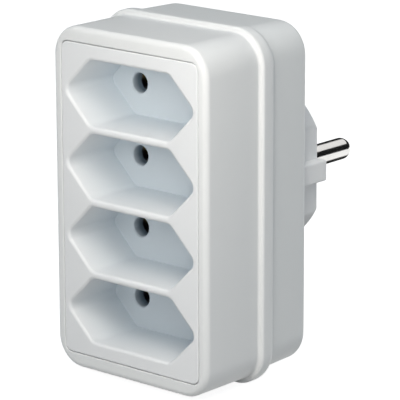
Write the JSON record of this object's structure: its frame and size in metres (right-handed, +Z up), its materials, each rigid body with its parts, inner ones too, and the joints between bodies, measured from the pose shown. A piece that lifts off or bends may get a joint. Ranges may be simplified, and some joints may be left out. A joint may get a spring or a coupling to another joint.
{
  "type": "plug adapter",
  "caption": "White wall-plug adapter: a tall rounded housing with stacked six-sided recesses for flat two-pin plugs, and a round two-pin plug on its back.",
  "frame": {"origin": "centre of the plug's end face, midway between the two pins", "axes": "+Y out of the plug's end face towards the wall, +Z up along the tall side, +X to the right seen from the sockets"},
  "size_m": [0.0446, 0.0604, 0.0762],
  "materials": {
    "housing_white": "satin",
    "panel_white": "satin",
    "cover_white": "satin",
    "pin_nickel": "polished",
    "bus_bar_brass": "satin",
    "contact_nickel": "satin",
    "rivet_brass": "satin",
    "screw_steel": "satin"
  },
  "bodies": {
    "root": {"front_housing": "housing_white", "socket_panel": "panel_white", "rear_cover": "cover_white", "live_bus_bar": "bus_bar_brass", "live_pin": "pin_nickel", "live_contact_1": "contact_nickel", "live_rivet_1": "rivet_brass", "live_contact_2": "contact_nickel", "live_rivet_2": "rivet_brass", "live_contact_3": "contact_nickel", "live_rivet_3": "rivet_brass", "live_contact_4": "contact_nickel", "live_rivet_4": "rivet_brass", "neutral_bus_bar": "bus_bar_brass", "neutral_pin": "pin_nickel", "neutral_contact_1": "contact_nickel", "neutral_rivet_1": "rivet_brass", "neutral_contact_2": "contact_nickel", "neutral_rivet_2": "rivet_brass", "neutral_contact_3": "contact_nickel", "neutral_rivet_3": "rivet_brass", "neutral_contact_4": "contact_nickel", "neutral_rivet_4": "rivet_brass", "cover_screw_1": "screw_steel", "cover_screw_2": "screw_steel", "cover_screw_3": "screw_steel", "cover_screw_4": "screw_steel"}
  },
  "joints": []
}
